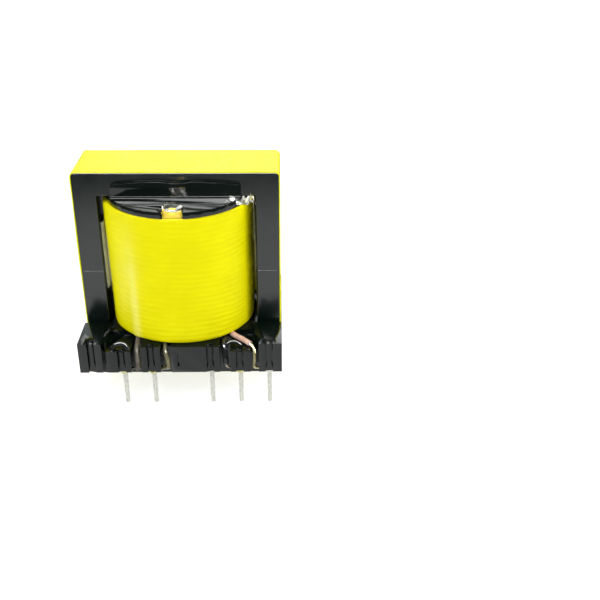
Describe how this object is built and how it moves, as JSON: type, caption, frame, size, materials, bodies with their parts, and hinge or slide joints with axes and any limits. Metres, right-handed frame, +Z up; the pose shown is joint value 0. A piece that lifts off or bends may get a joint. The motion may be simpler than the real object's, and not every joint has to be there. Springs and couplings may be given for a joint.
{
  "type": "pcb transformer",
  "caption": "Upright ferrite-cored transformer: taped winding on a black pin bobbin between two E-core halves held by a yellow tape band, with solder pins in two rows.",
  "frame": {"origin": "on the plane of the pin tips, under the middle of the body's bounding box", "axes": "+X along the pin rows, +Y from the front pin row to the back pin row, +Z up out of the board"},
  "size_m": [0.0342, 0.0272, 0.0407],
  "materials": {
    "bobbin": "semi-gloss black phenolic",
    "ferrite": "glossy dark grey, varnished",
    "core_tape": "glossy yellow polyester film",
    "outer_tape": "glossy yellow polyester film",
    "inner_tape": "yellow polyester film",
    "copper": "enamelled copper wire",
    "strip": "pale film",
    "glue": "clear glue",
    "tinned": "tinned",
    "solder": "bright solder",
    "clear_sleeve": "milky sleeve",
    "black_sleeve": "glossy black sleeve",
    "pink_lead": "tan sleeve",
    "salmon_sleeve": "salmon sleeve",
    "strands": "fluxed wire strands",
    "orange_wire": "orange enamelled wire"
  },
  "bodies": {
    "root": {"bobbin": "bobbin", "core_upper": "ferrite", "core_lower": "ferrite", "core_tape": "core_tape", "primary_winding": "copper", "inner_insulation": "inner_tape", "secondary_winding": "copper", "outer_insulation": "inner_tape", "auxiliary_winding": "copper", "margin_tape_lower": "inner_tape", "margin_tape_upper": "inner_tape", "outer_tape": "outer_tape", "side_strip": "strip", "tape_tongue": "inner_tape", "glue_drop": "glue", "glue_beads": "glue", "pin_1": "tinned", "pin_2": "tinned", "pin_3": "tinned", "pin_4": "tinned", "pin_5": "tinned", "pin_6": "tinned", "pin_9": "tinned", "pin_10": "tinned", "pin_12": "tinned", "pin_13": "tinned", "pin_14": "tinned", "cut_pin_7": "tinned", "cut_pin_8": "tinned", "cut_pin_11": "tinned", "solder_1": "solder", "solder_2": "solder", "solder_3": "solder", "solder_4": "solder", "solder_5": "solder", "solder_6": "solder", "solder_9": "solder", "solder_10": "solder", "solder_13": "solder", "solder_14": "solder", "sleeve_9": "clear_sleeve", "lead_9": "copper", "black_sleeve_9": "black_sleeve", "lead_10": "pink_lead", "black_sleeve_13": "black_sleeve", "lead_13": "copper", "salmon_sleeve_14": "salmon_sleeve", "lead_14": "strands", "sleeve_1": "clear_sleeve", "lead_1": "orange_wire", "lead_2": "orange_wire", "sleeve_4": "clear_sleeve", "lead_4": "orange_wire", "sleeve_6": "clear_sleeve", "lead_6": "orange_wire"}
  },
  "joints": []
}
